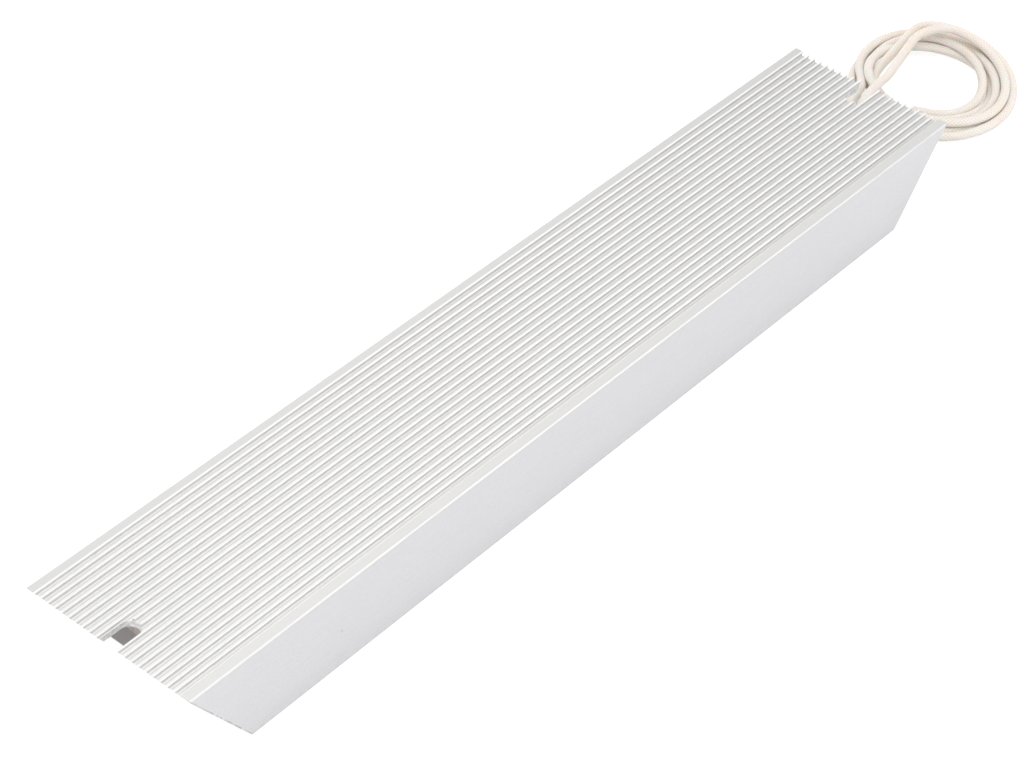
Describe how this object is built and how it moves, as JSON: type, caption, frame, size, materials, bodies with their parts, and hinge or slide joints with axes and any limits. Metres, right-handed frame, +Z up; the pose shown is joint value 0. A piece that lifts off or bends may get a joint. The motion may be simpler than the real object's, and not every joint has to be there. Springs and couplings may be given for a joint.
{
  "type": "braking resistor",
  "caption": "Slim mitred aluminium housing with fine lengthwise ribs and open screw notches, potted wirewound resistor inside, braided leads coiled at one end.",
  "frame": {"origin": "middle of the housing's foot: the centre of its box at the height of the shorter wide face", "axes": "+X along the housing towards the end that the leads leave; +Y across it; +Z up from the shorter wide face to the longer, notched one"},
  "size_m": [0.418, 0.0636, 0.03],
  "materials": {
    "housing": "matt extruded and blasted, saw-cut ends",
    "cement": "rough cast refractory cement",
    "quartz": "packed quartz sand",
    "mica": "smooth mica sheet",
    "steatite": "matt steatite",
    "former": "unglazed ceramic",
    "resistance_wire": "oxidised nickel-chromium wire",
    "steel_strip": "plain pressed steel",
    "tinned_metal": "tinned",
    "braid": "varnished glass-fibre braid"
  },
  "bodies": {
    "root": {"cap_left_far": "steel_strip", "cap_left_near": "steel_strip", "cap_right_far": "steel_strip", "cap_right_near": "steel_strip", "cement_seal_far": "cement", "cement_seal_near": "cement", "ferrule_left": "tinned_metal", "ferrule_right": "tinned_metal", "former_left": "former", "former_right": "former", "housing": "housing", "insulation_sheet_lower": "mica", "insulation_sheet_upper": "mica", "lead_coil": "braid", "lead_root_left": "braid", "lead_root_right": "braid", "lead_run_left": "braid", "lead_run_right": "braid", "lead_tip_left": "tinned_metal", "lead_tip_right": "tinned_metal", "link_strap": "steel_strip", "locating_card_far": "steatite", "locating_card_near": "steatite", "quartz_filler": "quartz", "winding_left": "resistance_wire", "winding_right": "resistance_wire"}
  },
  "joints": []
}
